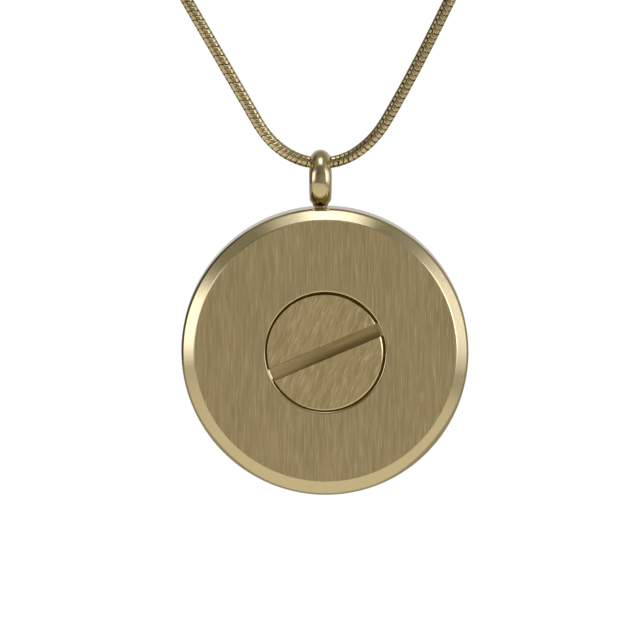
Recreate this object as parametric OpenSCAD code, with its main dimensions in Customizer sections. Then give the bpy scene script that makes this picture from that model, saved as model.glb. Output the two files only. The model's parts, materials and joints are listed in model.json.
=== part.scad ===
// Round locket on a snake chain. A turned disc case with a polished bevel is closed by a
// coin-slot screw plug and hangs from a bail that is soldered to its rim.
// Millimetres, +Z up. The slotted face looks towards -Y.
// The origin is the middle of the clasp, where the chain rests on the nape of the neck.

/* [Case] */
// Diameter of the case
case_d = 36.1; // [32:0.1:40]
// Thickness of the case from face to back
case_t = 6.4; // [6:0.1:7]
// Width of the polished bevel, seen from the front
bevel_w = 1.3; // [0.8:0.05:2]
// Depth of the polished bevel
bevel_depth = 1.05; // [0.6:0.05:1.2]
// Width of the softened edge outside the bevel
edge_w = 0.25; // [0.05:0.01:0.5]
// Depth of the softened edge outside the bevel
edge_depth = 0.36; // [0.06:0.02:0.6]
// Width and depth of the plain bevel round the back
back_bevel = 0.5; // [0.2:0.05:0.8]

/* [Compartment] */
// Diameter of the counterbore that the plug's flange drops into
mouth_d = 15.04; // [14.8:0.02:15.4]
// Depth of that counterbore
mouth_depth = 1.4; // [1.35:0.05:1.8]
// Diameter of the compartment behind it
compartment_d = 13; // [12.95:0.05:13.4]
// Depth of the compartment's floor below the face
compartment_depth = 5.2; // [3.2:0.1:5.4]
// Softened edge round the mouth
mouth_bevel = 0.1; // [0.05:0.05:0.2]

/* [Plug] */
// Diameter of the plug's flange
plug_d = 14.6; // [14:0.02:14.8]
// Thickness of the plug's flange
flange_t = 1.3; // [1.2:0.05:1.3]
// Diameter of the plug's screwed boss
boss_d = 12.84; // [12.4:0.02:12.84]
// Length of the plug's screwed boss
boss_l = 1.4; // [1.4:0.1:1.7]
// Softened edge round the plug's face
plug_bevel = 0.08; // [0.04:0.02:0.2]
// Width of the coin slot at the face
slot_w = 1.75; // [1.3:0.05:2]
// How far the slot's upper wall leans back over its depth
slot_lean = 0.22; // [0:0.02:0.5]
// Depth of the coin slot
slot_depth = 1.1; // [0.6:0.05:1.2]
// Angle of the coin slot, rising to the right
slot_angle = 22.75; // [-90:0.25:90]
// Number of screw grooves round the boss
groove_count = 3; // [1:1:3]

/* [Bail] */
// Outside height of the bail's ring
bail_d = 7.2; // [7:0.05:7.6]
// Diameter of the bail's round section
bail_section_d = 3; // [2.9:0.05:3.1]
// Width of the bail between its flat sides
bail_w = 2.82; // [2.6:0.02:2.86]
// Diameter of the hole that the chain runs through
bail_hole_d = 4.7; // [4.4:0.1:4.8]
// Thickness of the bail over the chain
bail_top_t = 0.76; // [0.66:0.02:0.86]
// How far the bail stands to the left of the middle of the case
bail_shift = 0.55; // [0:0.05:1]
// How far the bail stands behind the middle of the case, on the straight part of the rim
bail_back = 0.35; // [0:0.05:0.4]
// Gap between the bail's ring and the rim, bridged by the soldered foot
bail_gap = 0.03; // [0.01:0.02:0.21]
// Width of the soldered foot, seen from the front
foot_w = 1.65; // [1.4:0.05:1.8]
// Length of the foot along the bail's ring
foot_l = 2.9; // [2:0.1:3]

/* [Chain] */
// Diameter of the snake chain
chain_d = 1.5; // [1.3:0.1:1.5]
// Gap between the chain and the top of the bail's hole
chain_gap = 0.16; // [0.16:0.01:0.25]

/* [Clasp] */
// Length of the clasp
clasp_l = 12.4; // [11:0.2:14]
// Diameter of the clasp's barrel
clasp_d = 3.2; // [2.8:0.1:4]
// Diameter of the caps that hold the chain's ends
cap_d = 2.3; // [2:0.1:2.6]
// Length of each of those caps
cap_l = 1.8; // [1.6:0.1:2.4]

/* [Hidden] */
$fn = 96;

// Column numbers of the route table
X = 0;
Y = 1;
Z = 2;
RINGS = 3;

// The chain's centre line, from one end in the clasp, down through the bail and up to the other.
// The last column is the number of rings of the tube up to the next point.
ROUTE = [
    [-4.9, 0, 0, 1],
    [-7.5, 0, 0, 1],
    [-11, -0.2, 0, 1],
    [-17, -1.3, -0.4, 2],
    [-26, -4, -1.5, 2],
    [-39, -10, -4.5, 2],
    [-50.5, -19.5, -9.5, 2],
    [-58, -32, -17, 2],
    [-61, -46, -27, 2],
    [-60, -60, -39, 2],
    [-55.5, -75.5, -54, 2],
    [-47.5, -90, -71, 2],
    [-37.5, -102.5, -89.5, 2],
    [-27.1, -111.5, -108, 2],
    [-16.55, -116.6, -126.5, 2],
    [-10.75, -117.7, -136.5, 2],
    [-7.27, -117.95, -142.5, 2],
    [-5.1, -118, -146.1, 2],
    [-2.95, -118, -148.3, 2],
    [-0.5, -118, -149.6, 2],
    [2, -118, -150, 2],
    [4.5, -118, -149.65, 2],
    [6.85, -118, -148.45, 2],
    [9.2, -118, -146.2, 2],
    [11.5, -117.95, -142.5, 2],
    [15, -117.65, -136, 2],
    [19.75, -116.6, -126.5, 2],
    [29, -111.5, -108, 2],
    [38.9, -102.5, -89.5, 2],
    [48, -90, -71, 2],
    [55.5, -75.5, -54, 2],
    [60, -60, -39, 2],
    [61, -46, -27, 2],
    [58, -32, -17, 2],
    [50.5, -19.5, -9.5, 2],
    [39, -10, -4.5, 2],
    [26, -4, -1.5, 2],
    [17, -1.3, -0.4, 1],
    [11, -0.2, 0, 1],
    [7.5, 0, 0, 1],
    [4.9, 0, 0, 0]
];
// Where the chain crosses the bail: the axis that the locket swings on
SWING = [2, -118, -150];
// A direction that the chain never runs along, which keeps the tube from twisting
LOOP_NORMAL = [0, -0.8, 0.6];
CHAIN_SIDES = 8;

gold = [0.60, 0.53, 0.37];
dark_gold = [0.52, 0.45, 0.30];

case_r = case_d / 2;
half_t = case_t / 2;
mouth_r = mouth_d / 2;
plug_r = plug_d / 2;
boss_r = boss_d / 2;
groove_pitch = 0.36;
groove_depth = 0.18;
// Plain length before the first groove, and the bevel round the boss's end
boss_lead = 0.12;
bail_section_r = bail_section_d / 2;
bail_ring_r = bail_d / 2 - bail_section_r;
chain_r = chain_d / 2;
// Heights above the swing axis
bail_top = chain_r + chain_gap + bail_top_t;
bail_middle = bail_top - bail_d / 2;
bail_bottom = bail_top - bail_d;
bail_hole_middle = chain_r + chain_gap - bail_hole_d / 2;
case_middle = bail_bottom - bail_gap - case_r;
foot_reach = 0.6;
foot_root = 0.45;
socket_gap = 0.06;
socket_depth = 1.4;
clasp_taper = 1.2;
over = 1;

// Smooth curve through b and c, with a and d as the points before and after
function curve(a, b, c, d, t) =
    0.5 * (2 * b + (c - a) * t + (2 * a - 5 * b + 4 * c - d) * t * t
           + (3 * b - a - 3 * c + d) * t * t * t);
function place(i) = let (row = ROUTE[max(0, min(len(ROUTE) - 1, i))]) [row[X], row[Y], row[Z]];
function unit(v) = v / norm(v);

// Points along the route, closer together where the table asks for more rings
ROUTE_POINTS = [
    for (i = [0 : len(ROUTE) - 2])
        for (k = [0 : ROUTE[i][RINGS] - 1])
            curve(place(i - 1), place(i), place(i + 1), place(i + 2), k / ROUTE[i][RINGS]),
    place(len(ROUTE) - 1)
];

function heading(path, i) =
    unit(path[min(i + 1, len(path) - 1)] - path[max(i - 1, 0)]);
// One ring of the tube, square to the path
function tube_ring(path, i, r, sides) =
    let (ahead = heading(path, i),
         side = unit(cross(LOOP_NORMAL, ahead)),
         up = cross(ahead, side))
    [for (k = [0 : sides - 1])
        let (a = 360 * (k + 0.5) / sides)
        path[i] + r * cos(a) * side + r * sin(a) * up];

module tube(path, r, sides) {
    last = len(path) - 1;
    points = [for (i = [0 : last]) each tube_ring(path, i, r, sides)];
    walls = [
        for (i = [0 : last - 1])
            for (k = [0 : sides - 1])
                let (a = i * sides + k, b = i * sides + (k + 1) % sides)
                each [[a, b + sides, b], [a, a + sides, b + sides]]
    ];
    near_cap = [for (k = [0 : sides - 1]) k];
    far_cap = [for (k = [sides - 1 : -1 : 0]) last * sides + k];
    polyhedron(points = points, faces = concat(walls, [near_cap, far_cap]));
}

// Stands a turned shape up: its axis points at the viewer, its y becomes the height
module face_forward() {
    translate(SWING + [bail_shift, -bail_back, case_middle]) rotate([90, 0, 0]) children();
}

module chain() {
    color(gold) tube(ROUTE_POINTS, chain_r, CHAIN_SIDES);
}

module clasp() {
    half = clasp_l / 2;
    shoulder = half - cap_l;
    color(gold) rotate([0, 90, 0]) difference() {
        rotate_extrude() polygon([
            [0, -half], [cap_d / 2, -half], [cap_d / 2, -shoulder],
            [clasp_d / 2, clasp_taper - shoulder], [clasp_d / 2, shoulder - clasp_taper],
            [cap_d / 2, shoulder], [cap_d / 2, half], [0, half]
        ]);
        for (end = [-1, 1])
            translate([0, 0, end * (half - socket_depth / 2 + over / 2)])
                cylinder(r = chain_r + socket_gap, h = socket_depth + over, center = true);
    }
}

// Half section of the turned case: distance from the axis, height towards the viewer
module case_section() {
    bevel_top = half_t - bevel_depth;
    polygon([
        [0, -half_t], [case_r - back_bevel, -half_t], [case_r, back_bevel - half_t],
        [case_r, bevel_top - edge_depth], [case_r - edge_w, bevel_top],
        [case_r - edge_w - bevel_w, half_t], [0, half_t]
    ]);
}

module compartment() {
    translate([0, 0, half_t]) {
        translate([0, 0, -mouth_depth]) cylinder(r = mouth_r, h = mouth_depth + over);
        translate([0, 0, -compartment_depth]) cylinder(r = compartment_d / 2, h = compartment_depth);
        translate([0, 0, -mouth_bevel])
            cylinder(r1 = mouth_r, r2 = mouth_r + 2 * mouth_bevel, h = 2 * mouth_bevel);
    }
}

module bail() {
    translate(SWING) {
        difference() {
            translate([0, 0, bail_middle]) rotate([0, 90, 0])
                rotate_extrude() intersection() {
                    translate([bail_ring_r, 0]) circle(r = bail_section_r);
                    translate([0, -bail_w / 2]) square([bail_d, bail_w]);
                }
            translate([0, 0, bail_hole_middle]) rotate([0, 90, 0])
                cylinder(d = bail_hole_d, h = bail_section_d + over, center = true);
        }
        translate([0, 0, bail_bottom - foot_root]) foot();
    }
}

// An upright block with round ends that fills the wedge between the ring and the rim
module foot() {
    straight = foot_l - foot_w;
    height = foot_root + foot_reach;
    for (end = [-1, 1])
        translate([0, end * straight / 2, 0]) cylinder(d = foot_w, h = height);
    translate([-foot_w / 2, -straight / 2, 0]) cube([foot_w, straight, height]);
}

module case() {
    color(gold) union() {
        face_forward() difference() {
            rotate_extrude() case_section();
            compartment();
        }
        bail();
    }
}

// Half section of the plug, with its face at height 0
module plug_section() {
    boss_end = -flange_t - boss_l;
    polygon(concat(
        [[0, 0], [plug_r - plug_bevel, 0], [plug_r, -plug_bevel], [plug_r, -flange_t],
         [boss_r, -flange_t]],
        [for (i = [0 : groove_count - 1])
            let (top = -flange_t - boss_lead - i * groove_pitch)
            each [[boss_r, top], [boss_r - groove_depth, top - groove_pitch / 2],
                  [boss_r, top - groove_pitch]]],
        [[boss_r, boss_end + boss_lead], [boss_r - boss_lead, boss_end], [0, boss_end]]
    ));
}

// Section of the coin slot, with the face at height 0 and its upper wall at the right
module slot_section() {
    edge = slot_w / 2;
    polygon([[-edge, over], [-edge, -slot_depth], [edge - slot_lean, -slot_depth],
             [edge, 0], [edge, over]]);
}

module plug() {
    color(dark_gold) face_forward() translate([0, 0, half_t]) difference() {
        rotate_extrude() plug_section();
        rotate([0, 0, slot_angle]) rotate([90, 0, 90])
            linear_extrude(2 * plug_d, center = true) slot_section();
    }
}

chain();
clasp();
case();
plug();
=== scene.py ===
# The looks of the round locket: a brushed disc with a polished bevel, a coin-slot plug,
# a soldered bail and a round snake chain. Metres, +Z up, the slotted face looks towards -Y.
import bmesh
import bpy
import json
from math import acos, atan2, cos, exp, hypot, pi, radians, sin, sqrt
from mathutils import Matrix, Vector


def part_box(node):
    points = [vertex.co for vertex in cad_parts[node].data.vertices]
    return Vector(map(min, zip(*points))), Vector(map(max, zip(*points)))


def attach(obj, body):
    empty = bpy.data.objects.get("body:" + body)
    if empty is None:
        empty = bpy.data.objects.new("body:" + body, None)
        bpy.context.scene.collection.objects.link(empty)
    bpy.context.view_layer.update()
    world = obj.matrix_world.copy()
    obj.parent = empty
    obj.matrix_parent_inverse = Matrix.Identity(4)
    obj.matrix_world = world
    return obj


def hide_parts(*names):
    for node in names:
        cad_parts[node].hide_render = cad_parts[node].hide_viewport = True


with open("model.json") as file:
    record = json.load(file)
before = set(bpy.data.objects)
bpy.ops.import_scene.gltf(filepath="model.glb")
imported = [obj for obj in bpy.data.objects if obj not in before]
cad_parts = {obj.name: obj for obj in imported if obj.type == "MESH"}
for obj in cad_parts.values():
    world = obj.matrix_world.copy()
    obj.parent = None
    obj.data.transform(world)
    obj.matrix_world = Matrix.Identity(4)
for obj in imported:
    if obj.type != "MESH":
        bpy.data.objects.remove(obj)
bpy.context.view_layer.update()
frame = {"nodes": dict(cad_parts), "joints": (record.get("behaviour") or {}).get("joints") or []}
MM = 0.001
# Points this close are merged, and a point this near a size counts as on it
MERGE = 1e-7
NEAR = 1e-6
# Steps round every turned piece
TURN_STEPS = 256

# Places and sizes read from the frame
case_low, case_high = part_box("case")
CASE_R = (case_high.x - case_low.x) / 2
CASE_X = (case_high.x + case_low.x) / 2
CASE_Z = case_low.z + CASE_R
RING_OUTER_R = (case_high.y - case_low.y) / 2
RING_Y = (case_high.y + case_low.y) / 2
RING_Z = case_high.z - RING_OUTER_R
plug_low, plug_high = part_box("plug")
PLUG_R = (plug_high.x - plug_low.x) / 2
PLUG_Z = (plug_high.z + plug_low.z) / 2
FACE_Y = plug_low.y
PLUG_L = plug_high.y - plug_low.y
swing = next(j for j in frame["joints"] if j["name"] == "pendant_swing")
RING_X = swing["pos_m"][0]
FACE_MIDDLE = Vector((CASE_X, FACE_Y, CASE_Z))

# Case: radii from its axis, depths behind its face
CASE_T = 6.4 * MM
BEVEL_W = 1.3 * MM
BEVEL_DEPTH = 1.05 * MM
BEVEL_SLOPE = BEVEL_DEPTH / BEVEL_W
EDGE_W = 0.25 * MM
EDGE_DEPTH = 0.36 * MM
EDGE_END = BEVEL_DEPTH + EDGE_DEPTH
FACE_R = CASE_R - EDGE_W - BEVEL_W
BACK_BEVEL = 0.5 * MM
COMPARTMENT_R = 6.5 * MM
COMPARTMENT_DEPTH = 5.2 * MM
MOUTH_R = 7.52 * MM
MOUTH_DEPTH = 1.4 * MM
MOUTH_FILLET = 0.28 * MM
# How wide the corners are rounded
BEVEL_SOFT = 0.1 * MM
EDGE_SOFT = 0.05 * MM
BACK_SOFT = 0.08 * MM
# A second, flatter bevel between the face and the bevel: how far in and out from the corner
LIP_IN = 0.03 * MM
LIP_OUT = 0.103 * MM
# Ledge in the counterbore, just wider than the plug
LEDGE_R = 7.35 * MM
LEDGE_DEPTH = 0.42 * MM
# How high and wide the ledge is worn to a slope where the slot ends
LEDGE_WEAR = 0.185 * MM
LEDGE_PUSH = 0.08 * MM
# There the ledge's edge and the mouth's rounding close up to this share of their distance
LEDGE_CLOSE = 0.07
# The counterbore sits a little to the upper right of the plug
MOUTH_SHIFT = Vector((0.07 * MM, 0, 0.03 * MM))
# The bevel's cone stands to the upper right of the disc's axis, so it is widest at the lower left
BEVEL_SHIFT = Vector((0.08 * MM, 0, 0.15 * MM))
# Where the outer edge was polished away more: angle from the right, half width, extra width
WORN_EDGES = [(radians(227), radians(16), 0.17 * MM), (radians(318), radians(17), 0.3 * MM)]
# The disc isn't quite round and reaches furthest at this angle from the right
ROUND_ERROR = 0.165 * MM
ROUND_ERROR_ANGLE = radians(290)
# Behind this depth the outer wall is straight
WALL_START = EDGE_END + 0.1 * MM

# Plug
FLANGE_T = 1.3 * MM
BOSS_R = 6.42 * MM
BOSS_LEAD = 0.12 * MM
PLUG_BEVEL_W = 0.085 * MM
PLUG_BEVEL_DEPTH = 0.085 * MM
# The plug's edge is worn at the lower right, so the top's outline sits to the upper left
PLUG_WORN = Vector((-0.055 * MM, 0, 0.045 * MM))
GROOVES = 3
GROOVE_PITCH = 0.36 * MM
GROOVE_DEPTH = 0.18 * MM
SLOT_W = 1.75 * MM
SLOT_DEPTH = 1.1 * MM
SLOT_LEAN = 0.22 * MM
SLOT_ANGLE = radians(22.75)
SLOT_CREASE = radians(30)
# The slot's floor rises in a curve, so it is cut at these shares of its half width
SLOT_RISE = 0.1 * MM
SLOT_CUTS = (-0.5, -0.1, 0.3, 0.65)

# Bail: the ring's round section, the flats on its sides and the hole
SECTION_R = 1.5 * MM
BAIL_W = 2.82 * MM
BAIL_SHOULDER = 0.12 * MM
HOLE_R = 2.35 * MM
HOLE_SOFT = 0.15 * MM
TOP_T = 0.76 * MM
# The ring is narrower at the top: by what share, and between which heights of its radius
BAIL_TAPER = 0.09
TAPER_START = 0.25
TAPER_END = 0.6
SECTION_SIDES = 48
RING_STEPS = 128
# Share of the section's sides that lie outside the hole
SIDES_OUTSIDE = 34 / 48

# Foot: the pad on the rim and the solder collar under the ring, each from below. Height above
# the rim's top, width, length and how far its middle stands in front of the ring's, in mm
PAD_RINGS = [(-0.34, 1.5, 4.1, 0.3), (0.29, 1.5, 4.1, 0.3), (0.33, 1.44, 4.04, 0.3)]
COLLAR_RINGS = [
    (0.1, 1.74, 2.1, 0), (0.2, 1.82, 2.2, 0), (0.38, 2.02, 2.3, 0), (0.62, 1.96, 2.2, 0)
]
FOOT_SIDES = 48
# 2 is an oval, and a higher number is squarer
SQUARENESS = 4

# Chain's route, the same points as the model's own tube, in millimetres
ROUTE = [
    (-4.9, 0, 0), (-7.5, 0, 0), (-11, -0.2, 0), (-17, -1.3, -0.4), (-26, -4, -1.5),
    (-39, -10, -4.5), (-50.5, -19.5, -9.5), (-58, -32, -17), (-61, -46, -27),
    (-60, -60, -39), (-55.5, -75.5, -54), (-47.5, -90, -71), (-37.5, -102.5, -89.5),
    (-27.1, -111.5, -108), (-16.55, -116.6, -126.5), (-10.75, -117.7, -136.5),
    (-7.27, -117.95, -142.5), (-5.1, -118, -146.1), (-2.95, -118, -148.3),
    (-0.5, -118, -149.6), (2, -118, -150), (4.5, -118, -149.65), (6.85, -118, -148.45),
    (9.2, -118, -146.2), (11.5, -117.95, -142.5), (15, -117.65, -136), (19.75, -116.6, -126.5),
    (29, -111.5, -108), (38.9, -102.5, -89.5), (48, -90, -71), (55.5, -75.5, -54),
    (60, -60, -39), (61, -46, -27), (58, -32, -17), (50.5, -19.5, -9.5), (39, -10, -4.5),
    (26, -4, -1.5), (17, -1.3, -0.4), (11, -0.2, 0), (7.5, 0, 0), (4.9, 0, 0)
]
ROUTE_STEPS = 40

# Half section of one link: distance from the chain's axis and place along it, in millimetres
LINK_SECTION = [
    (0.6, -0.33), (0.69, -0.31), (0.748, -0.2), (0.75, 0.1), (0.738, 0.24), (0.6, 0.28)
]
LINK_SIDES = 16
LINK_PITCH = 0.645 * MM
LINK_WAVE = 0.24 * MM
LINK_GROOVE_R = 0.7 * MM
LINK_CREASE = radians(25)
# The plates come in pairs, and each groove is a little wider at eight places round the chain
PAIR_GAP = 0.035 * MM
NOTCH = 0.045 * MM
# The chain twists by this much from left to right under the bail. Behind TWIST_Y each half
# keeps the twist of its own side
CHAIN_TWIST = radians(18)
TWIST_START = -2 * MM
TWIST_END = 8 * MM
TWIST_Y = -90 * MM

# Photograph: the plug's middle in its 640 by 640 frame, and one pixel on the face
PHOTO_SIZE = 640
PLUG_PX = (324.83, 352.5)
PIXEL = 0.12557 * MM
CAMERA_TILT = radians(5.5)
CAMERA_DISTANCE = 1.0
SENSOR = 36.0


def make_camera():
    ahead = Vector((0, cos(CAMERA_TILT), -sin(CAMERA_TILT)))
    up = Vector((0, sin(CAMERA_TILT), cos(CAMERA_TILT)))
    half = PHOTO_SIZE / 2
    aim = FACE_MIDDLE.copy()
    aim.x += (half - PLUG_PX[0]) * PIXEL
    aim += up * (PLUG_PX[1] - half) * PIXEL
    data = bpy.data.cameras.new("photo_view")
    data.sensor_width = SENSOR
    data.lens = SENSOR * CAMERA_DISTANCE / (PHOTO_SIZE * PIXEL)
    camera = bpy.data.objects.new("photo_view", data)
    bpy.context.scene.collection.objects.link(camera)
    camera.location = aim - ahead * CAMERA_DISTANCE
    camera.rotation_euler = (pi / 2 - CAMERA_TILT, 0, 0)
    bpy.context.scene.camera = camera


def add_node(tree, kind, inputs=None, **settings):
    """Adds a shader node. Inputs are given by name or number: a value, or a socket to link."""
    made = tree.nodes.new(kind)
    for name, value in settings.items():
        setattr(made, name, value)
    for name, value in (inputs or {}).items():
        if isinstance(value, bpy.types.NodeSocket):
            tree.links.new(value, made.inputs[name])
        else:
            made.inputs[name].default_value = value
    return made


def add_math(tree, operation, *values):
    """A Math node; gives its output socket."""
    return add_node(tree, "ShaderNodeMath", dict(enumerate(values)), operation=operation).outputs[0]


def smooth_step(tree, value, low, high, to_low=0.0, to_high=1.0):
    """Goes smoothly from one value to the other while the input goes from low to high."""
    return add_node(tree, "ShaderNodeMapRange", {
        "Value": value, "From Min": low, "From Max": high, "To Min": to_low, "To Max": to_high
    }, interpolation_type="SMOOTHSTEP").outputs["Result"]


def mix_colours(tree, share, first, second):
    return add_node(tree, "ShaderNodeMix", {
        0: share, "A": first, "B": second}, data_type="RGBA").outputs["Result"]


def mix_values(tree, share, low, high):
    return add_node(tree, "ShaderNodeMapRange", {
        "Value": share, "To Min": low, "To Max": high}).outputs["Result"]


# Soft cards of the studio: turn is the angle from the camera towards the right, climb the height.
# The overhead cards are measured sideways and from the camera's side over the top.
SIDE_CARDS = [
    {"turn": -62, "half_turn": 10, "soft": 7,
     "climb": 12, "half_climb": 16, "soft_climb": 8, "light": 1.3},
    {"turn": -77, "half_turn": 8, "soft": 6,
     "climb": 6, "half_climb": 14, "soft_climb": 10, "light": 2.1},
    {"turn": 62.5, "half_turn": 8.5, "soft": 5,
     "climb": 12, "half_climb": 19, "soft_climb": 12, "light": 2.6},
    {"turn": 83, "half_turn": 13, "soft": 12,
     "climb": 8, "half_climb": 20, "soft_climb": 13, "light": 1.3},
    {"turn": 66, "half_turn": 30, "soft": 14,
     "climb": 39, "half_climb": 12, "soft_climb": 12, "light": 0.18},
    {"turn": -50, "half_turn": 9, "soft": 7,
     "climb": 26, "half_climb": 8, "soft_climb": 7, "light": 0.2}
]
TOP_CARDS = [
    {"turn": 5, "half_turn": 13, "soft": 8,
     "climb": 79, "half_climb": 15, "soft_climb": 8, "light": 1.9},
    {"turn": -9, "half_turn": 14, "soft": 9,
     "climb": 79, "half_climb": 15, "soft_climb": 8, "light": 0.8}
]
# Darker and lighter parts of the room
ROOM_PATCHES = [
    {"turn": -28, "half_turn": 18, "soft": 14,
     "climb": 12, "half_climb": 30, "soft_climb": 14, "light": -0.1},
    {"turn": 30, "half_turn": 14, "soft": 12,
     "climb": 12, "half_climb": 30, "soft_climb": 12, "light": 0.07},
    {"turn": 0, "half_turn": 60, "soft": 20,
     "climb": 36, "half_climb": 20, "soft_climb": 12, "light": -0.1},
    {"turn": -122, "half_turn": 26, "soft": 14,
     "climb": 5, "half_climb": 45, "soft_climb": 14, "light": -0.27}
]
ROOM_LIGHT = 0.35
# Behind the locket the room is lighter: where that starts and is full, along y and z
BACKDROP_LIGHT = 0.3
BACKDROP_Y = (0.25, 0.85)
BACKDROP_Z = (0.85, 0.3)
CARD_TINT = (0.94, 1.01, 1.42, 1)
WHITE = (1, 1, 1, 1)
PAPER_LIGHT = 1.02


def soft_card(tree, turn, climb, card):
    """A lit rectangle with soft edges on the dome of the studio; angles in degrees."""
    share = None
    for angle, middle, half, soft in (
        (turn, card["turn"], card["half_turn"], card["soft"]),
        (climb, card["climb"], card["half_climb"], card["soft_climb"])
    ):
        away = add_math(tree, "ABSOLUTE", add_math(tree, "SUBTRACT", angle, radians(middle)))
        inside = smooth_step(tree, away, radians(half - soft), radians(half + soft), 1.0, 0.0)
        share = inside if share is None else add_math(tree, "MULTIPLY", share, inside)
    return add_math(tree, "MULTIPLY", share, card["light"])


def make_studio():
    """A pale room with soft white cards at the sides and overhead, plain white to the camera."""
    world = bpy.data.worlds.new("studio")
    bpy.context.scene.world = world
    world.use_nodes = True
    tree = world.node_tree
    tree.nodes.clear()
    way = add_node(tree, "ShaderNodeTexCoord").outputs["Generated"]
    x, y, z = add_node(tree, "ShaderNodeSeparateXYZ", {0: way}).outputs
    ahead = add_math(tree, "MULTIPLY", y, -1.0)
    turn = add_math(tree, "ARCTAN2", x, ahead)
    climb = add_math(tree, "ARCSINE", z)
    sideways = add_math(tree, "ARCSINE", x)
    over = add_math(tree, "ARCTAN2", z, ahead)
    cards = 0.0
    for card in TOP_CARDS:
        cards = add_math(tree, "ADD", cards, soft_card(tree, sideways, over, card))
    for card in SIDE_CARDS:
        cards = add_math(tree, "ADD", cards, soft_card(tree, turn, climb, card))
    back = smooth_step(tree, y, *BACKDROP_Y)
    low_back = smooth_step(tree, z, *BACKDROP_Z)
    room = add_math(tree, "MULTIPLY", add_math(tree, "MULTIPLY", back, low_back), BACKDROP_LIGHT)
    room = add_math(tree, "ADD", room, ROOM_LIGHT)
    for patch in ROOM_PATCHES:
        room = add_math(tree, "ADD", room, soft_card(tree, turn, climb, patch))
    card_light = add_node(
        tree, "ShaderNodeBackground", {"Color": CARD_TINT, "Strength": cards}).outputs[0]
    room_light = add_node(
        tree, "ShaderNodeBackground", {"Color": WHITE, "Strength": room}).outputs[0]
    studio = add_node(tree, "ShaderNodeAddShader", {0: card_light, 1: room_light}).outputs[0]
    paper = add_node(
        tree, "ShaderNodeBackground", {"Color": WHITE, "Strength": PAPER_LIGHT}).outputs[0]
    ray = add_node(tree, "ShaderNodeLightPath").outputs["Is Camera Ray"]
    seen = add_node(tree, "ShaderNodeMixShader", {0: ray, 1: studio, 2: paper}).outputs[0]
    add_node(tree, "ShaderNodeOutputWorld", {"Surface": seen})
    bpy.context.scene.view_settings.view_transform = "Standard"


# Floor: it fades out between two shares of its radius
FLOOR_Z = -0.45
FLOOR_R = 1.45
FLOOR_SIDES = 96
FLOOR_MIDDLE = (-0.2, 0.12)
FLOOR_FADE = (0.82, 0.97)
FLOOR_PALE = (0.93, 0.91, 0.87, 1)
FLOOR_PAINTED_SHADE = (0.46, 0.45, 0.43, 1)
# Painted shade: it gets darker behind the locket, a painted shadow, and by a share of that at the
# right
PAINTED_SHADOW_BEHIND = (FACE_Y - 0.02, FACE_Y + 0.12)
PAINTED_SHADE_RIGHT = (0.45, 0.75)
PAINTED_SHADE_RIGHT_SHARE = 0.6
# Lamp over the floor
LAMP_SIZE = 1.2
LAMP_POWER = 9.5
LAMP_Z = 0.9


def make_floor():
    """A pale round floor under the locket, with painted shade behind it and at the right."""
    bm = bmesh.new()
    bmesh.ops.create_circle(bm, cap_ends=True, radius=FLOOR_R, segments=FLOOR_SIDES)
    bmesh.ops.translate(bm, verts=bm.verts, vec=(*FLOOR_MIDDLE, FLOOR_Z))
    mesh = bpy.data.meshes.new("floor")
    bm.to_mesh(mesh)
    bm.free()
    mesh.materials.append(make_floor_material())
    floor = bpy.data.objects.new("floor", mesh)
    bpy.context.scene.collection.objects.link(floor)


def make_floor_material():
    pale = bpy.data.materials.new("pale_floor")
    pale.use_nodes = True
    tree = pale.node_tree
    tree.nodes.clear()
    place = add_node(tree, "ShaderNodeTexCoord").outputs["Object"]
    away = add_node(tree, "ShaderNodeVectorMath", {
        0: place, 1: (*FLOOR_MIDDLE, FLOOR_Z)
    }, operation="DISTANCE").outputs["Value"]
    gone = smooth_step(tree, away, *(FLOOR_R * share for share in FLOOR_FADE))
    x, y, _ = add_node(tree, "ShaderNodeSeparateXYZ", {0: place}).outputs
    # Painted shade: the floor's colour goes darker behind the locket, a painted shadow, and darker at
    # the right
    behind = smooth_step(tree, y, *PAINTED_SHADOW_BEHIND)
    right = add_math(tree, "MULTIPLY", smooth_step(tree, x, *PAINTED_SHADE_RIGHT), PAINTED_SHADE_RIGHT_SHARE)
    colour = mix_colours(tree, add_math(tree, "MAXIMUM", behind, right), FLOOR_PALE, FLOOR_PAINTED_SHADE)
    sheet = add_node(tree, "ShaderNodeBsdfDiffuse", {"Color": colour}).outputs[0]
    clear = add_node(tree, "ShaderNodeBsdfTransparent").outputs[0]
    seen = add_node(tree, "ShaderNodeMixShader", {0: gone, 1: sheet, 2: clear}).outputs[0]
    add_node(tree, "ShaderNodeOutputMaterial", {"Surface": seen})
    return pale


def make_lamp():
    """A wide lamp overhead that lights the floor and shows in no reflection."""
    light = bpy.data.lights.new("floor_lamp", "AREA")
    light.size = LAMP_SIZE
    light.energy = LAMP_POWER
    lamp = bpy.data.objects.new("floor_lamp", light)
    lamp.location = (0, 0, LAMP_Z)
    lamp.visible_glossy = False
    lamp.visible_camera = False
    bpy.context.scene.collection.objects.link(lamp)


def make_group(name, inputs, outputs):
    """An empty shader group with its sockets; inputs are name, kind and value."""
    group = bpy.data.node_groups.new(name, "ShaderNodeTree")
    for label, kind, value in inputs:
        socket = group.interface.new_socket(label, in_out="INPUT", socket_type=kind)
        if value is not None:
            socket.default_value = value
    for label, kind in outputs:
        group.interface.new_socket(label, in_out="OUTPUT", socket_type=kind)
    return group, group.nodes.new("NodeGroupInput").outputs, group.nodes.new("NodeGroupOutput").inputs


def add_noise(tree, place, scale, detail, roughness=0.5):
    """A noise over a place; gives the node."""
    return add_node(tree, "ShaderNodeTexNoise", {
        "Vector": place, "Scale": scale, "Detail": detail, "Roughness": roughness})


def add_vector_math(tree, operation, first, second):
    return add_node(
        tree, "ShaderNodeVectorMath", {0: first, 1: second}, operation=operation).outputs[0]


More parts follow.
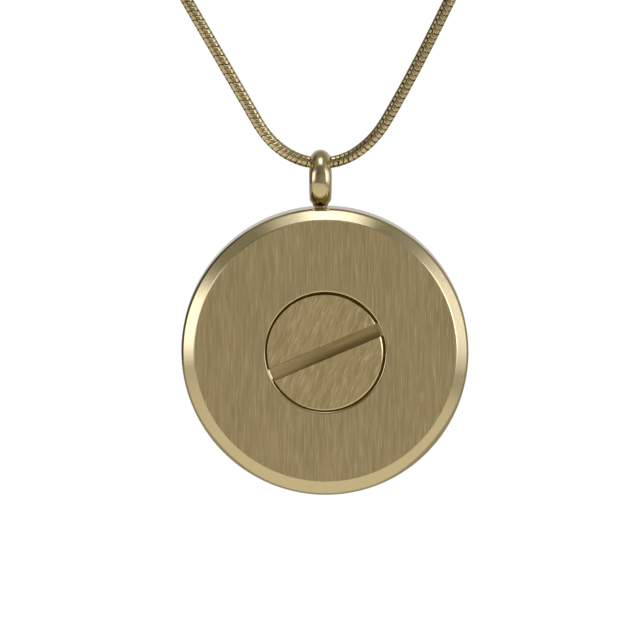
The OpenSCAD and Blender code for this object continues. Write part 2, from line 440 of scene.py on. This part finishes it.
def scale_vector(tree, vector, scale):
    return add_node(
        tree, "ShaderNodeVectorMath", {0: vector, "Scale": scale}, operation="SCALE").outputs[0]


# Brushed grain: how often the scratches wander, per mm
GRAIN_WANDER = 0.16
# Its layers are the fine grain, the broad shades and the single scratches. Each row has the
# repeats across and along, as shares of the grain's own, and the detail
GRAIN_LAYERS = [(0.5, 0.7, 2.0), (0.16, 0.28, 1.0), (1.3, 1.0, 0.0)]
GRAIN_DEPTH = 0.3
GRAIN_ROUGHNESS = 0.6
# The fine grain's share of the shade, where a scratch starts and is full, and its depth
FINE_SHARE = 0.75
SCRATCH_START = (0.63, 0.76)
SCRATCH_DEPTH = 0.5


def make_brushed_grain():
    """Long fine scratches that all run one way. The vector is across, depth and along, in mm."""
    group, given, wanted = make_group("brushed_grain", [
        ("Vector", "NodeSocketVector", None), ("Width", "NodeSocketFloat", 0.15),
        ("Length", "NodeSocketFloat", 3.0), ("Wander", "NodeSocketFloat", 0.0)
    ], [("Shade", "NodeSocketFloat"), ("Scratches", "NodeSocketFloat"),
        ("Height", "NodeSocketFloat")])
    bend = add_noise(group, given["Vector"], GRAIN_WANDER, 1.0).outputs["Color"]
    shift = add_vector_math(group, "SUBTRACT", bend, (0.5, 0.5, 0.5))
    shift = scale_vector(group, shift, given["Wander"])
    place = add_vector_math(group, "ADD", given["Vector"], shift)
    across = add_math(group, "DIVIDE", 1.0, given["Width"])
    along = add_math(group, "DIVIDE", 1.0, given["Length"])
    layers = []
    for wide, long, detail in GRAIN_LAYERS:
        stretch = add_node(group, "ShaderNodeCombineXYZ", {
            "X": add_math(group, "MULTIPLY", across, wide), "Y": GRAIN_DEPTH,
            "Z": add_math(group, "MULTIPLY", along, long)}).outputs[0]
        spot = add_vector_math(group, "MULTIPLY", place, stretch)
        layers.append(add_noise(group, spot, 1.0, detail, GRAIN_ROUGHNESS).outputs["Fac"])
    fine, broad, thin = layers
    shade = add_math(group, "ADD", add_math(group, "MULTIPLY", fine, FINE_SHARE),
                     add_math(group, "MULTIPLY", broad, 1 - FINE_SHARE))
    scratches = smooth_step(group, thin, *SCRATCH_START)
    cut = add_math(group, "MULTIPLY", scratches, SCRATCH_DEPTH)
    group.links.new(shade, wanted["Shade"])
    group.links.new(scratches, wanted["Scratches"])
    group.links.new(add_math(group, "SUBTRACT", fine, cut), wanted["Height"])
    return group


# Hairlines: how often they curl, per mm, and how far
CURL = 0.35
CURL_REACH = 5.0
# How often each set of lines repeats along x, y and z, and where a line starts and is full
LINE_SETS = [(9.0, 9.0, 0.7), (0.7, 9.0, 9.0), (9.0, 0.7, 9.0)]
LINE_START = (0.62, 0.75)
# How often the smears repeat, per mm
SMEARS = 0.8


def make_hairlines():
    """Faint polishing marks: swirls of hair-thin lines and soft smears. The vector is in mm."""
    group, given, wanted = make_group("hairlines", [
        ("Vector", "NodeSocketVector", None)
    ], [("Marks", "NodeSocketFloat"), ("Smears", "NodeSocketFloat")])
    bend = add_noise(group, given["Vector"], CURL, 2.0).outputs["Color"]
    curl = scale_vector(group, bend, CURL_REACH)
    place = add_vector_math(group, "ADD", given["Vector"], curl)
    marks = None
    for stretch in LINE_SETS:
        spot = add_vector_math(group, "MULTIPLY", place, stretch)
        line = smooth_step(group, add_noise(group, spot, 1.0, 1.0).outputs["Fac"], *LINE_START)
        marks = line if marks is None else add_math(group, "MAXIMUM", marks, line)
    smears = add_noise(group, given["Vector"], SMEARS, 3.0).outputs["Fac"]
    group.links.new(marks, wanted["Marks"])
    group.links.new(smears, wanted["Smears"])
    return group


# The UV map that follows a piece's grain, and the width of face that it covers
GRAIN_UV = "grain"
GRAIN_SPAN = 40 * MM
# Brushed metals: where the shade goes from dark to light, how much the scratches show as painted
# glints in their brighter colour, how far the roughness swings, the pull of the highlights and the
# bump's strength and height
SHADE_RANGE = (0.3, 0.7)
PAINTED_GLINT_SHARE = 0.55
ROUGH_SWING = 0.12
GRAIN_PULL = 0.6
GRAIN_BUMP = 0.35
GRAIN_HEIGHT = 0.012 * MM
# Polished metals: how much the hairlines show and how rough they are, where the smears start,
# how much rougher they are, and the bump's height
MARK_SHARE = 0.5
MARK_ROUGH = 0.1
SMEAR_RANGE = (0.35, 0.7)
SMEAR_ROUGH = 1.8
MARK_HEIGHT = 0.004 * MM


def start_metal(name):
    """A gold-tone metal's material, its shader and its Object coordinates in millimetres."""
    metal = bpy.data.materials.new(name)
    metal.use_nodes = True
    tree = metal.node_tree
    shader = tree.nodes["Principled BSDF"]
    shader.inputs["Metallic"].default_value = 1.0
    place = add_node(tree, "ShaderNodeTexCoord").outputs["Object"]
    return metal, tree, shader, scale_vector(tree, place, 1 / MM)


def set_bump(tree, shader, height, strength, distance):
    bump = add_node(tree, "ShaderNodeBump", {
        "Height": height, "Strength": strength, "Distance": distance}).outputs[0]
    tree.links.new(bump, shader.inputs["Normal"])


def brushed_metal(
        name, grain, lean, width, length, wander, dark, light, scratch, rough, painted_light=None):
    """Metal brushed one way, leaning by an angle from upright.
    painted_light is painted light at the left end: its colours there, above and below the middle."""
    metal, tree, shader, place = start_metal(name)
    middle = FACE_MIDDLE / MM
    turned = add_node(tree, "ShaderNodeVectorRotate", {
        "Vector": place, "Center": middle, "Axis": (0, 1, 0), "Angle": -lean
    }, rotation_type="AXIS_ANGLE").outputs[0]
    made = add_node(tree, "ShaderNodeGroup", node_tree=grain)
    for label, value in (("Width", width), ("Length", length), ("Wander", wander)):
        made.inputs[label].default_value = value
    tree.links.new(turned, made.inputs["Vector"])
    shade = smooth_step(tree, made.outputs["Shade"], *SHADE_RANGE)
    colour = mix_colours(tree, shade, dark, light)
    # The scratches are cut in by the bump and also painted in the brighter scratch colour: a painted
    # glint
    painted_glint = add_math(tree, "MULTIPLY", made.outputs["Scratches"], PAINTED_GLINT_SHARE)
    colour = mix_colours(tree, painted_glint, colour, scratch)
    # Painted light: towards the left end the colour goes over to the lighter painted_light colours,
    # one above and one below the middle
    if painted_light:
        x = add_node(tree, "ShaderNodeSeparateXYZ", {0: place}).outputs[0]
        across = add_node(tree, "ShaderNodeSeparateXYZ", {0: turned}).outputs[0]
        left = smooth_step(tree, x, (CASE_X - PLUG_R) / MM, CASE_X / MM, 1.0, 0.0)
        low = smooth_step(tree, across, middle.x, middle.x + SLOT_W / MM / 3)
        colour = mix_colours(tree, left, colour, mix_colours(tree, low, *painted_light))
    tree.links.new(colour, shader.inputs["Base Color"])
    roughness = mix_values(tree, made.outputs["Shade"], rough + ROUGH_SWING, rough - ROUGH_SWING)
    tree.links.new(roughness, shader.inputs["Roughness"])
    shader.inputs["Anisotropic"].default_value = GRAIN_PULL
    pull = add_node(tree, "ShaderNodeTangent", direction_type="UV_MAP", uv_map=GRAIN_UV)
    tree.links.new(pull.outputs[0], shader.inputs["Tangent"])
    set_bump(tree, shader, made.outputs["Height"], GRAIN_BUMP, GRAIN_HEIGHT)
    return metal


def polished_metal(name, hairlines, colour, worn, rough, bump):
    """Polished metal with faint hairlines and smears."""
    metal, tree, shader, place = start_metal(name)
    made = add_node(tree, "ShaderNodeGroup", node_tree=hairlines)
    tree.links.new(place, made.inputs["Vector"])
    share = add_math(tree, "MULTIPLY", made.outputs["Marks"], MARK_SHARE)
    tree.links.new(mix_colours(tree, share, colour, worn), shader.inputs["Base Color"])
    smears = smooth_step(tree, made.outputs["Smears"], *SMEAR_RANGE)
    roughness = mix_values(tree, smears, rough, rough * SMEAR_ROUGH)
    roughness = add_math(tree, "ADD", roughness, add_math(tree, "MULTIPLY", share, MARK_ROUGH))
    tree.links.new(roughness, shader.inputs["Roughness"])
    set_bump(tree, shader, made.outputs["Marks"], bump, MARK_HEIGHT)
    return metal


def finish_piece(name, bm, materials, body, node):
    """Turns a bmesh into a piece that rides on a body and stands for a node."""
    for face in bm.faces:
        face.smooth = True
    mesh = bpy.data.meshes.new(name)
    bm.to_mesh(mesh)
    bm.free()
    for material in materials:
        mesh.materials.append(material)
    piece = bpy.data.objects.new(name, mesh)
    bpy.context.scene.collection.objects.link(piece)
    shading = piece.modifiers.new("even_shading", "WEIGHTED_NORMAL")
    shading.keep_sharp = True
    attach(piece, body)
    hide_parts(node)


def lay_grain(bm, lean):
    """Lays the grain's UV map over a piece: across the grain, then along it."""
    bm.loops.layers.uv.new(GRAIN_UV)
    for face in bm.faces:
        lay_face_grain(bm, face, lean)


def lay_face_grain(bm, face, lean):
    layer = bm.loops.layers.uv[GRAIN_UV]
    across = Vector((cos(lean), 0, -sin(lean)))
    along = Vector((sin(lean), 0, cos(lean)))
    for loop in face.loops:
        away = loop.vert.co - FACE_MIDDLE
        loop[layer].uv = (
            0.5 + away.dot(across) / GRAIN_SPAN, 0.5 + away.dot(along) / GRAIN_SPAN)


def turn_profile(bm, profile, middle):
    """Spins a profile of (radius, depth behind the face) round the locket's axis."""
    points = [bm.verts.new(middle + Vector((r, depth, 0))) for r, depth in profile]
    lines = [bm.edges.new(pair) for pair in zip(points, points[1:])]
    bmesh.ops.spin(
        bm, geom=points + lines, cent=middle, axis=(0, 1, 0), dvec=(0, 0, 0), angle=2 * pi,
        steps=TURN_STEPS, use_merge=True, use_normal_flip=False, use_duplicate=False
    )
    bmesh.ops.remove_doubles(bm, verts=bm.verts, dist=MERGE)
    bmesh.ops.recalc_face_normals(bm, faces=bm.faces)


def ring_edges(bm, middle, radius, depth):
    """The edges of one turned circle."""
    def on_ring(vertex):
        away = vertex.co - middle
        return abs(hypot(away.x, away.z) - radius) < NEAR and abs(away.y - depth) < NEAR
    return [e for e in bm.edges if on_ring(e.verts[0]) and on_ring(e.verts[1])]


def sharpen(edges):
    """Keeps an edge crisp, so that the narrow facet beside it stays flat."""
    for edge in edges:
        edge.smooth = False


def soften(bm, edges, width, segments):
    bmesh.ops.bevel(
        bm, geom=edges, offset=width, offset_type="OFFSET", segments=segments, profile=0.5,
        affect="EDGES", clamp_overlap=True, material=-1
    )


def cut_faces(bm, faces, place, normal):
    """Cuts some faces along a plane; gives what is there after the cut."""
    geom = set(faces)
    for face in faces:
        geom.update(face.edges)
        geom.update(face.verts)
    return bmesh.ops.bisect_plane(
        bm, geom=list(geom), plane_co=place, plane_no=normal, dist=MERGE)["geom"]


# Material slots of the disc and the plug, of the foot and of the chain. The slot's floor, the solder
# and the chain's grooves have colours painted dark as shade
BRUSHED, POLISHED, SATIN, MILLED = range(4)
PAD_TOP, SOLDER = range(2)
PLATE, GROOVE = range(2)
# How much of a face's normal points along the axis if it is flat, forwards if it is the slot's
# floor, and up if it is the top of the pad
FLAT_SHARE = 0.9999
SLOT_FLOOR_SHARE = 0.7
PAD_TOP_SHARE = 0.3


def make_case(brushed, polished, satin):
    bm = bmesh.new()
    lip_depth = LIP_OUT * BEVEL_SLOPE
    turn_profile(bm, [
        (0, COMPARTMENT_DEPTH), (COMPARTMENT_R, COMPARTMENT_DEPTH),
        (COMPARTMENT_R, MOUTH_DEPTH), (LEDGE_R, MOUTH_DEPTH), (LEDGE_R, LEDGE_DEPTH),
        (MOUTH_R, LEDGE_DEPTH), (MOUTH_R, 0),
        (FACE_R - LIP_IN, 0), (FACE_R + LIP_OUT, lip_depth),
        (CASE_R - EDGE_W, BEVEL_DEPTH), (CASE_R, EDGE_END),
        (CASE_R, CASE_T - BACK_BEVEL), (CASE_R - BACK_BEVEL, CASE_T), (0, CASE_T)
    ], FACE_MIDDLE)
    for radius, depth, width, segments in [
        (MOUTH_R, 0, MOUTH_FILLET, 5),
        (CASE_R - EDGE_W, BEVEL_DEPTH, BEVEL_SOFT, 3), (CASE_R, EDGE_END, EDGE_SOFT, 2),
        (CASE_R, CASE_T - BACK_BEVEL, BACK_SOFT, 2), (CASE_R - BACK_BEVEL, CASE_T, BACK_SOFT, 2),
        (COMPARTMENT_R, MOUTH_DEPTH, EDGE_SOFT, 2)
    ]:
        soften(bm, ring_edges(bm, FACE_MIDDLE, radius, depth), width, segments)
    sharpen(ring_edges(bm, FACE_MIDDLE, FACE_R + LIP_OUT, lip_depth))
    sharpen(ring_edges(bm, FACE_MIDDLE, FACE_R - LIP_IN, 0))
    for radius in (LEDGE_R, MOUTH_R):
        sharpen([
            e for e in ring_edges(bm, FACE_MIDDLE, radius, LEDGE_DEPTH)
            if all(at_slot_end(v.co - FACE_MIDDLE) for v in e.verts)
        ])
    shift_rings(bm)
    lay_grain(bm, 0)
    near = MOUTH_FILLET / 8
    for face in bm.faces:
        away = face.calc_center_median() - FACE_MIDDLE
        flat = abs(face.normal.y) > FLAT_SHARE
        if flat and (away.y < near or away.y > CASE_T - near):
            face.material_index = BRUSHED
        elif hypot(away.x, away.z) < MOUTH_R + near and away.y > MOUTH_FILLET:
            face.material_index = SATIN
        else:
            face.material_index = POLISHED
    finish_piece("case_disc", bm, [brushed, polished, satin], "locket", "case")


def shift_rings(bm):
    """Moves the bevel's cone and the mouth off the disc's axis and wears the outer edge."""
    middle_depth = BEVEL_DEPTH / 2
    for vertex in bm.verts:
        away = vertex.co - FACE_MIDDLE
        out = hypot(away.x, away.z)
        if LEDGE_R - NEAR < out < MOUTH_R + LEDGE_PUSH and away.y < LEDGE_DEPTH + NEAR:
            wear_ledge(vertex, away, out)
        if MOUTH_R - NEAR < out < MOUTH_R + 2 * MOUTH_FILLET and away.y < LEDGE_DEPTH + NEAR:
            vertex.co += MOUTH_SHIFT
        if out > CASE_R - BACK_BEVEL - EDGE_W and away.y > middle_depth:
            widen_disc(vertex, away, out)
        if out < FACE_R - LIP_OUT or away.y > WALL_START:
            continue
        if away.y < middle_depth:
            vertex.co += BEVEL_SHIFT
            continue
        # the outer edge keeps its place, so where the cone moved outwards the edge comes forwards
        vertex.co.y -= BEVEL_SLOPE * BEVEL_SHIFT.dot(away) / out
        if out < CASE_R - EDGE_W / 2:
            for angle, half, extra in WORN_EDGES:
                share = (atan2(away.z, away.x) % (2 * pi) - angle) / half
                worn = extra * exp(-share * share)
                vertex.co -= Vector((away.x, out * BEVEL_SLOPE, away.z)) * (worn / out)


def widen_disc(vertex, away, out):
    """Moves the outer wall out where the disc isn't quite round, and its front edge back with it."""
    share = max(0.0, cos(atan2(away.z, away.x) - ROUND_ERROR_ANGLE))
    push = ROUND_ERROR * share * share
    vertex.co += Vector((away.x, 0, away.z)) * (push / out)
    if away.y < WALL_START:
        vertex.co.y += BEVEL_SLOPE * push


def at_slot_end(away):
    """Whether a place lies in the direction of the slot's left end."""
    angle = atan2(away.z, away.x) % (2 * pi) - (pi + SLOT_ANGLE)
    return abs(angle) * MOUTH_R < SLOT_W / 2


def wear_ledge(vertex, away, out):
    """Slopes the ledge where the coin has rubbed it, at the left end of the slot."""
    if not at_slot_end(away):
        return
    outwards = Vector((away.x, 0, away.z)) / out
    if out < LEDGE_R + NEAR:
        vertex.co -= outwards * (LEDGE_R - PLUG_R)
        return
    vertex.co += outwards * LEDGE_PUSH * min(1.0, away.y / MOUTH_FILLET)
    if away.y > MOUTH_FILLET - NEAR:
        # the ledge's edge and the mouth's rounding meet here, one just in front of the other
        vertex.co.y = FACE_Y + LEDGE_DEPTH - LEDGE_WEAR + (away.y - LEDGE_DEPTH) * LEDGE_CLOSE


def make_plug(brushed, polished, satin, milled, lean):
    bm = bmesh.new()
    middle = Vector((CASE_X, FACE_Y, PLUG_Z))
    top_r = PLUG_R - PLUG_BEVEL_W
    end_r = BOSS_R - BOSS_LEAD
    profile = [
        (top_r, 0), (PLUG_R, PLUG_BEVEL_DEPTH), (PLUG_R, SLOT_DEPTH),
        (PLUG_R, FLANGE_T), (BOSS_R, FLANGE_T)
    ]
    for i in range(GROOVES):
        start = FLANGE_T + BOSS_LEAD + i * GROOVE_PITCH
        profile += [
            (BOSS_R, start), (BOSS_R - GROOVE_DEPTH, start + GROOVE_PITCH / 2),
            (BOSS_R, start + GROOVE_PITCH)
        ]
    profile += [(BOSS_R, PLUG_L - BOSS_LEAD), (end_r, PLUG_L)]
    turn_profile(bm, profile, middle)
    for radius, depth in [(top_r, 0), (end_r, PLUG_L)]:
        bmesh.ops.contextual_create(bm, geom=ring_edges(bm, middle, radius, depth))
    rim = ring_edges(bm, middle, top_r, 0)
    sharpen(rim)
    sharpen(ring_edges(bm, middle, PLUG_R, PLUG_BEVEL_DEPTH))
    bmesh.ops.translate(bm, verts=list({v for e in rim for v in e.verts}), vec=PLUG_WORN)
    slot = cut_slot(bm, middle)
    bmesh.ops.recalc_face_normals(bm, faces=bm.faces)
    lay_grain(bm, lean)
    for face in slot:
        lay_face_grain(bm, face, pi / 2 - SLOT_ANGLE)
        sharpen([e for e in face.edges if e.calc_face_angle() > SLOT_CREASE])
    for face in bm.faces:
        depth = face.calc_center_median().y - middle.y
        if face in slot:
            is_floor = face.normal.y < -SLOT_FLOOR_SHARE
            face.material_index = MILLED if is_floor else BRUSHED
        elif depth < PLUG_BEVEL_DEPTH / 8:
            face.material_index = BRUSHED
        elif depth > PLUG_BEVEL_DEPTH:
            face.material_index = SATIN
        else:
            face.material_index = POLISHED
    finish_piece("screw_plug", bm, [brushed, polished, satin, milled], "plug", "plug")


def cut_slot(bm, middle):
    """Cuts the coin slot across the plug's face, its upper wall leaning back; gives its faces."""
    across = Vector((-sin(SLOT_ANGLE), 0, cos(SLOT_ANGLE)))
    half = SLOT_W / 2
    lower = (middle - across * half, across)
    lean = (across * SLOT_DEPTH + Vector((0, SLOT_LEAN, 0))).normalized()
    upper = (middle + across * half, lean)

    def above_floor():
        end = middle.y + SLOT_DEPTH + MERGE
        return [f for f in bm.faces if max(v.co.y for v in f.verts) < end]

    def inside(point):
        return (point - lower[0]).dot(lower[1]) > 0 > (point - upper[0]).dot(upper[1])

    for place, normal in (lower, upper):
        cut_faces(bm, above_floor(), place, normal)
    gone = [f for f in above_floor() if inside(f.calc_center_median())]
    bmesh.ops.delete(bm, geom=gone, context="FACES")
    rim = {v for e in bm.edges if e.is_boundary for v in e.verts}
    walls = []
    for place, normal in (lower, upper):
        wall = [v for v in rim if abs((v.co - place).dot(normal)) < NEAR]
        walls += bmesh.ops.contextual_create(bm, geom=wall)["faces"]
    low_rim = [v for v in rim if abs(v.co.y - middle.y - SLOT_DEPTH) < NEAR]
    floor = bmesh.ops.contextual_create(bm, geom=low_rim)["faces"]
    return walls + hollow_slot(bm, middle, across, floor)


def hollow_slot(bm, middle, across, floor):
    """Gives the slot's flat floor its hollow, which rises towards the upper wall."""
    half = SLOT_W / 2
    reach = half - SLOT_LEAN
    for place in SLOT_CUTS:
        made = cut_faces(bm, floor, middle + across * place * reach, across)
        floor = [f for f in made if isinstance(f, bmesh.types.BMFace)]
    for vertex in {v for f in floor for v in f.verts}:
        out = (vertex.co - middle).dot(across)
        share = (out + half) / (half + reach)
        rise = SLOT_RISE * share * share
        vertex.co.y -= rise
        if reach - out < NEAR:
            vertex.co += across * (SLOT_LEAN * rise / SLOT_DEPTH)
    return floor


def flatten(size, limit, soft):
    """Holds a size under a limit, with a soft shoulder just below it."""
    over = size - (limit - soft)
    return size if over <= 0 else limit - soft * exp(-over / soft)


def make_bail(polished):
    """A ring of round section whose hole is bored straight through."""
    middle = Vector((RING_X, RING_Y, RING_Z))
    ring_r = RING_OUTER_R - SECTION_R
    hole_drop = RING_OUTER_R - TOP_T - HOLE_R
    bm = bmesh.new()
    bmesh.ops.create_circle(bm, cap_ends=False, radius=SECTION_R, segments=SECTION_SIDES)
    bmesh.ops.rotate(bm, verts=bm.verts, cent=(0, 0, 0), matrix=Matrix.Rotation(pi / 2, 3, "X"))
    bmesh.ops.translate(bm, verts=bm.verts, vec=middle + Vector((0, 0, ring_r)))
    bmesh.ops.spin(
        bm, geom=bm.verts[:] + bm.edges[:], cent=middle, axis=(1, 0, 0), dvec=(0, 0, 0),
        angle=2 * pi, steps=RING_STEPS, use_merge=True, use_normal_flip=False, use_duplicate=False
    )
    bmesh.ops.remove_doubles(bm, verts=bm.verts, dist=MERGE)
    # a small part of the step between two points of the section
    near = 0.1 / SECTION_SIDES
    rim = set()
    for vertex in bm.verts:
        away = vertex.co - middle
        out = hypot(away.y, away.z)
        radial = Vector((0, away.y / out, away.z / out))
        # share goes from 0 at the ring's outside to 1 at its inside
        share = atan2(abs(away.x), out - ring_r) / pi
        side = 1 if away.x > 0 else -1
        # distance from the ring's middle to the wall of the hole, which is bored off centre
        drop = hole_drop * radial.z
        bore = drop + sqrt(drop * drop + HOLE_R * HOLE_R - hole_drop * hole_drop)
        edge = acos((bore - ring_r) / SECTION_R)
        if share < SIDES_OUTSIDE + near:
            angle = edge * share / SIDES_OUTSIDE
            reach = ring_r + SECTION_R * cos(angle)
            across = SECTION_R * sin(angle)
        else:
            reach = bore
            across = SECTION_R * sin(edge) * (1 - share) / (1 - SIDES_OUTSIDE)
        across = flatten(across, BAIL_W / 2, BAIL_SHOULDER)
        high = min(1.0, max(0.0, (radial.z - TAPER_START) / (TAPER_END - TAPER_START)))
        across *= 1 - BAIL_TAPER * high * high * (3 - 2 * high)
        vertex.co = middle + radial * reach + Vector((side * across, 0, 0))
        if abs(share - SIDES_OUTSIDE) < near:
            rim.add(vertex)
    soften(bm, [e for e in bm.edges if e.verts[0] in rim and e.verts[1] in rim], HOLE_SOFT, 3)
    bmesh.ops.recalc_face_normals(bm, faces=bm.faces)
    finish_piece("bail_ring", bm, [polished], "locket", "case")


def stack_rings(bm, rings):
    """A closed upright body with a squarish oval outline at each height."""
    top = CASE_Z + CASE_R
    ring = None
    for height, width, length, ahead in rings:
        if ring is None:
            points = bmesh.ops.create_circle(
                bm, cap_ends=False, radius=1, segments=FOOT_SIDES)["verts"]
            ring = list({e for v in points for e in v.link_edges})
            bmesh.ops.contextual_create(bm, geom=ring)
            round_way = [Vector((v.co.x, v.co.y)) for v in points]
        else:
            made = bmesh.ops.extrude_edge_only(bm, edges=ring)["geom"]
            new = {v for v in made if isinstance(v, bmesh.types.BMVert)}
            ring = [
                e for e in made if isinstance(e, bmesh.types.BMEdge) and set(e.verts) <= new
            ]
            # both lists go round in the same order, so each new point gets its own direction
            points = sorted(new, key=lambda v: atan2(v.co.y - middle_y, v.co.x - RING_X))
            round_way.sort(key=lambda way: atan2(way.y, way.x))
        middle_y = RING_Y - ahead * MM
        for point, way in zip(points, round_way):
            reach = (way.x ** SQUARENESS + way.y ** SQUARENESS) ** (-1 / SQUARENESS) / 2
            point.co = Vector((
                RING_X + way.x * reach * width * MM, middle_y + way.y * reach * length * MM,
                top + height * MM
            ))
    bmesh.ops.contextual_create(bm, geom=ring)


def make_foot(polished, solder):
    """The pad on the rim, with solder round its walls, and the collar that holds the ring on it. The
    solder is painted dark, as shade under the ring.
    """
    bm = bmesh.new()
    stack_rings(bm, PAD_RINGS)
    pad_count = len(bm.faces)
    stack_rings(bm, COLLAR_RINGS)
    bmesh.ops.recalc_face_normals(bm, faces=bm.faces)
    # The pad's top is polished; its walls and the collar take the solder colour, painted dark as
    # shade under the ring
    for i, face in enumerate(bm.faces):
        on_top = i < pad_count and face.normal.z > PAD_TOP_SHARE
        face.material_index = PAD_TOP if on_top else SOLDER
    finish_piece("bail_foot", bm, [polished, solder], "locket", "case")


def curve(a, b, c, d, t):
    """Smooth curve through b and c, with a and d as the points before and after."""
    return 0.5 * (
        2 * b + (c - a) * t + (2 * a - 5 * b + 4 * c - d) * t * t
        + (3 * b - a - 3 * c + d) * t * t * t
    )


def route_places(pitch):
    """Places along the route, a pitch apart, each with the direction ahead."""
    points = [Vector(p) * MM for p in ROUTE]
    last = len(points) - 1
    fine = []
    for i in range(last):
        a, b, c, d = points[max(i - 1, 0)], points[i], points[i + 1], points[min(i + 2, last)]
        fine += [curve(a, b, c, d, k / ROUTE_STEPS) for k in range(ROUTE_STEPS)]
    fine.append(points[last])
    places = []
    walked = 0.0
    wanted = pitch / 2
    for here, there in zip(fine, fine[1:]):
        step = there - here
        while walked + step.length > wanted:
            places.append((here + step * ((wanted - walked) / step.length), step.normalized()))
            wanted += pitch
        walked += step.length
    return places


def make_link_mesh():
    """One link of the snake chain: a short barrel whose ends wave up and down twice."""
    bm = bmesh.new()
    points = [bm.verts.new((r * MM, 0, z * MM)) for r, z in LINK_SECTION]
    lines = [bm.edges.new((p, q)) for p, q in zip(points, points[1:] + points[:1])]
    bmesh.ops.spin(
        bm, geom=points + lines, cent=(0, 0, 0), axis=(0, 0, 1), dvec=(0, 0, 0), angle=2 * pi,
        steps=LINK_SIDES, use_merge=True, use_normal_flip=False, use_duplicate=False
    )
    bmesh.ops.remove_doubles(bm, verts=bm.verts, dist=MERGE)
    for vertex in bm.verts:
        angle = atan2(vertex.co.y, vertex.co.x)
        if vertex.co.z < 0:
            vertex.co.z -= NOTCH * cos(LINK_SIDES / 2 * angle) / 2
        vertex.co.z += LINK_WAVE * sin(2 * angle)
    bmesh.ops.recalc_face_normals(bm, faces=bm.faces)
    # Faces in the groove get the dark groove material: painted shade between the plates
    for face in bm.faces:
        in_groove = hypot(*face.calc_center_median().xy) < LINK_GROOVE_R
        face.material_index = GROOVE if in_groove else PLATE
    sharpen([e for e in bm.edges if e.calc_face_angle() > LINK_CREASE])
    mesh = bpy.data.meshes.new("chain_link")
    bm.to_mesh(mesh)
    bm.free()
    return mesh


def link_twist(place):
    """How far a link is turned round the chain: not at all at the left, fully at the right."""
    if place.y > TWIST_Y:
        return CHAIN_TWIST if place.x > 0 else 0.0
    share = min(1.0, max(0.0, (place.x - TWIST_START) / (TWIST_END - TWIST_START)))
    return CHAIN_TWIST * share


def make_chain(gold, groove):
    """The two halves of the chain, each a row of links along the route."""
    link = make_link_mesh()
    places = route_places(LINK_PITCH)
    half = len(places) // 2
    for name, run in (("chain_left", places[:half]), ("chain_right", places[half:])):
        bm = bmesh.new()
        for i, (place, ahead) in enumerate(run):
            facing = Vector((0, -1, 0))
            facing = (facing - ahead * facing.dot(ahead)).normalized()
            side = facing.cross(ahead)
            matrix = Matrix((facing, side, ahead)).transposed().to_4x4()
            matrix = Matrix.Translation(place + ahead * (PAIR_GAP * (i % 2))) @ matrix
            matrix = matrix @ Matrix.Rotation(link_twist(place), 4, "Z")
            copy = link.copy()
            copy.transform(matrix)
            bm.from_mesh(copy)
            bpy.data.meshes.remove(copy)
        finish_piece(name, bm, [gold, groove], "necklace", "chain")
    bpy.data.meshes.remove(link)


make_camera()
make_studio()
make_floor()
make_lamp()

# Metals: widths and lengths of the grain are in millimetres
GOLD = (0.57, 0.46, 0.222, 1)
PALE_GOLD = (0.66, 0.56, 0.31, 1)
PLUG_GRAIN = radians(20)
grain = make_brushed_grain()
hairlines = make_hairlines()
face_metal = brushed_metal(
    "brushed_face", grain, lean=0, width=0.13, length=2.6, wander=0.0,
    dark=(0.49, 0.372, 0.165, 1), light=(0.66, 0.506, 0.235, 1),
    scratch=(0.8, 0.66, 0.36, 1), rough=0.42)
plug_metal = brushed_metal(
    "brushed_plug", grain, lean=PLUG_GRAIN, width=0.16, length=1.4, wander=1.2,
    dark=(0.52, 0.39, 0.165, 1), light=(0.72, 0.555, 0.25, 1),
    scratch=(0.98, 0.84, 0.5, 1), rough=0.42)
# Slot floor: milled metal whose colours are painted darker as shade in the recess, with painted light
# at its left end
slot_painted_shade_and_light = brushed_metal(
    "milled_slot_painted_shade_and_light", grain, lean=pi / 2 - SLOT_ANGLE, width=0.1, length=6.0, wander=0.0,
    dark=(0.35, 0.255, 0.1, 1), light=(0.45, 0.335, 0.14, 1),
    scratch=(0.55, 0.42, 0.19, 1), rough=0.38,
    painted_light=((0.52, 0.405, 0.19, 1), (0.85, 0.66, 0.31, 1)))
bevel_metal = polished_metal("polished_bevel", hairlines, GOLD, PALE_GOLD, rough=0.09, bump=0.3)
bail_metal = polished_metal("polished_bail", hairlines, GOLD, PALE_GOLD, rough=0.06, bump=0.12)
satin_metal = polished_metal("satin_bore", hairlines, GOLD, PALE_GOLD, rough=0.1, bump=0.5)
# Solder at the foot: a solder joint whose colour is painted dark as shade under the ring
solder_painted_shade_metal = polished_metal(
    "solder_joint_painted_shade", hairlines, colour=(0.3, 0.21, 0.08, 1), worn=(0.45, 0.34, 0.16, 1),
    rough=0.16, bump=0.3)
chain_metal = polished_metal(
    "chain_gold", hairlines, colour=(0.6, 0.47, 0.215, 1), worn=(0.32, 0.23, 0.08, 1),
    rough=0.1, bump=1.0)
# The chain's grooves: a dark colour painted in as shade between the plates
groove_painted_shade_metal = polished_metal(
    "chain_groove_painted_shade", hairlines, colour=(0.1, 0.065, 0.025, 1), worn=(0.2, 0.14, 0.06, 1),
    rough=0.3, bump=0.1)

make_case(face_metal, bevel_metal, satin_metal)
make_plug(plug_metal, bevel_metal, satin_metal, slot_painted_shade_and_light, PLUG_GRAIN)
make_bail(bail_metal)
make_foot(bail_metal, solder_painted_shade_metal)
make_chain(chain_metal, groove_painted_shade_metal)
clasp_slot = frame["nodes"]["clasp"].material_slots[0]
clasp_slot.link = "OBJECT"
clasp_slot.material = bail_metal
